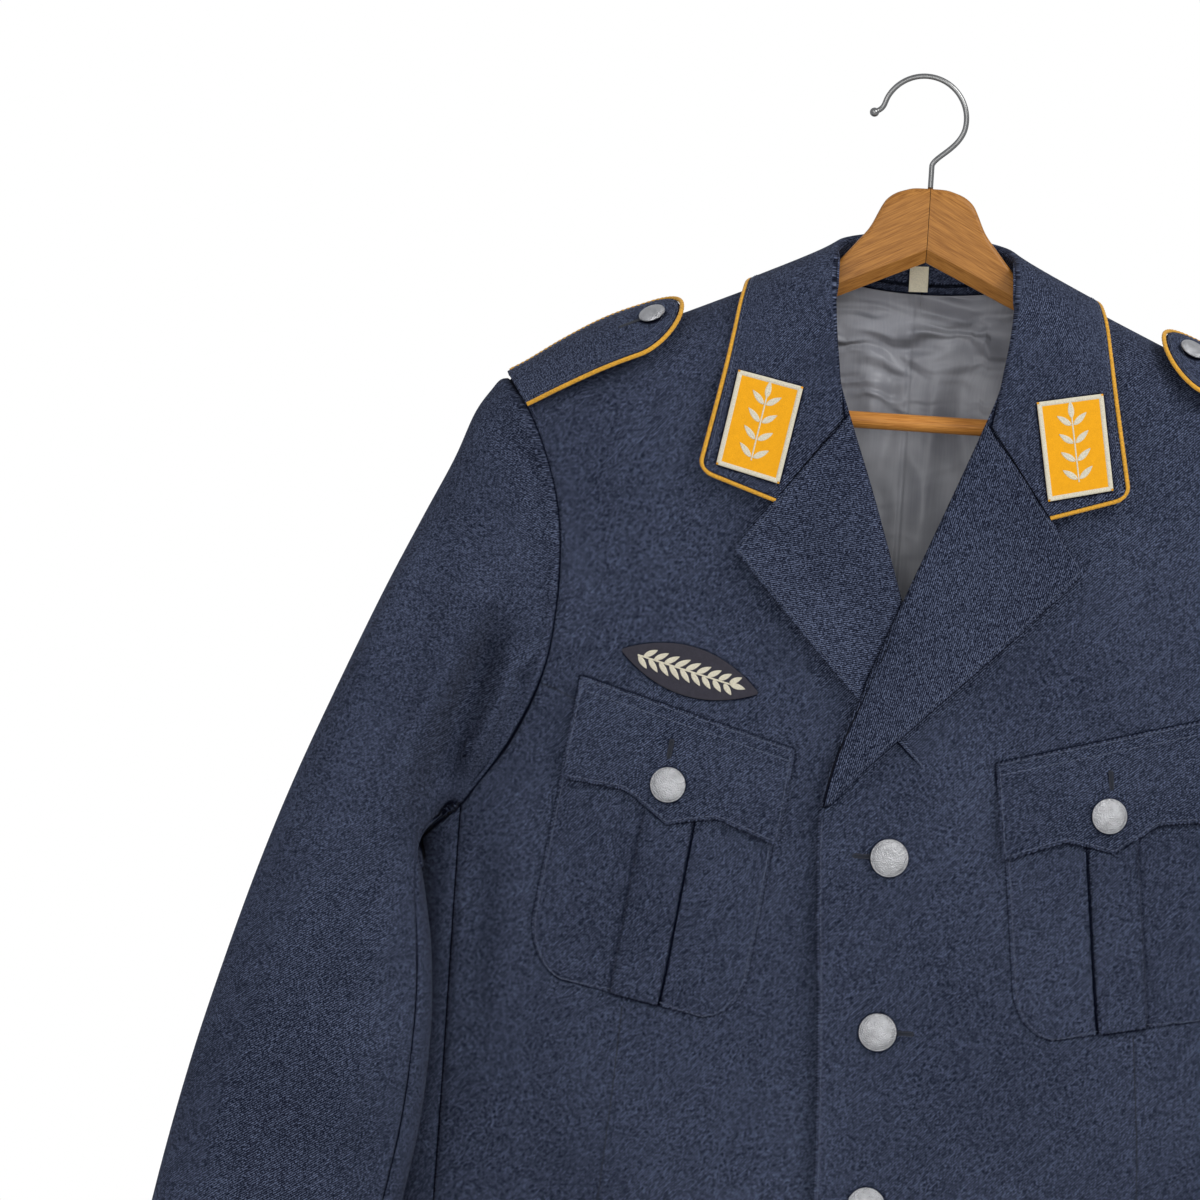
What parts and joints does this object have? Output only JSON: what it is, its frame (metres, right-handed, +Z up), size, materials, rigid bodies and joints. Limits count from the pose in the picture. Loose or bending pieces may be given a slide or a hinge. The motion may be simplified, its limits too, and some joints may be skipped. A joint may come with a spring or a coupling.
{
  "type": "dress uniform jacket on a wooden hanger",
  "caption": "Single-breasted dress uniform jacket with notched collar, shoulder boards and flapped chest pockets, hanging flat on a wooden hanger with a wire hook.",
  "frame": {"origin": "inside the top of the hook, where a rail would carry it", "axes": "+Z up, the front of the jacket faces -Y, +X towards the wearer's left"},
  "size_m": [0.824, 0.1288, 0.8789],
  "materials": {
    "cloth": "matt blue-grey wool twill",
    "piping": "twisted golden cord",
    "patch": "golden felt with cream embroidery",
    "badge": "dark felt with pale embroidery",
    "lining": "grey satin",
    "label": "cream woven tape",
    "button": "finely pebbled silver",
    "wood": "varnished golden brown",
    "steel": "bright wire"
  },
  "bodies": {
    "root": {"front_left": "cloth", "front_right": "cloth", "back_left": "cloth", "back_right": "cloth", "side_left": "cloth", "side_right": "cloth", "lapel_left": "cloth", "lapel_right": "cloth", "collar_fall": "cloth", "collar_stand": "cloth", "collar_piping": "piping", "collar_patch_left": "patch", "collar_patch_right": "patch", "sleeve_upper_left": "cloth", "sleeve_upper_right": "cloth", "sleeve_under_left": "cloth", "sleeve_under_right": "cloth", "chest_pocket_left": "cloth", "chest_pocket_right": "cloth", "chest_flap_left": "cloth", "chest_flap_right": "cloth", "shoulder_board_left": "cloth", "shoulder_board_right": "cloth", "board_piping_left": "piping", "board_piping_right": "piping", "breast_badge": "badge", "button_front_1": "button", "button_front_2": "button", "button_front_3": "button", "button_front_4": "button", "button_chest_left": "button", "button_chest_right": "button", "button_shoulder_left": "button", "button_shoulder_right": "button", "lining_back": "lining", "neck_label": "label", "hanger_arm_left": "wood", "hanger_arm_right": "wood", "hanger_bar": "wood", "hanger_hook": "steel"}
  },
  "joints": []
}
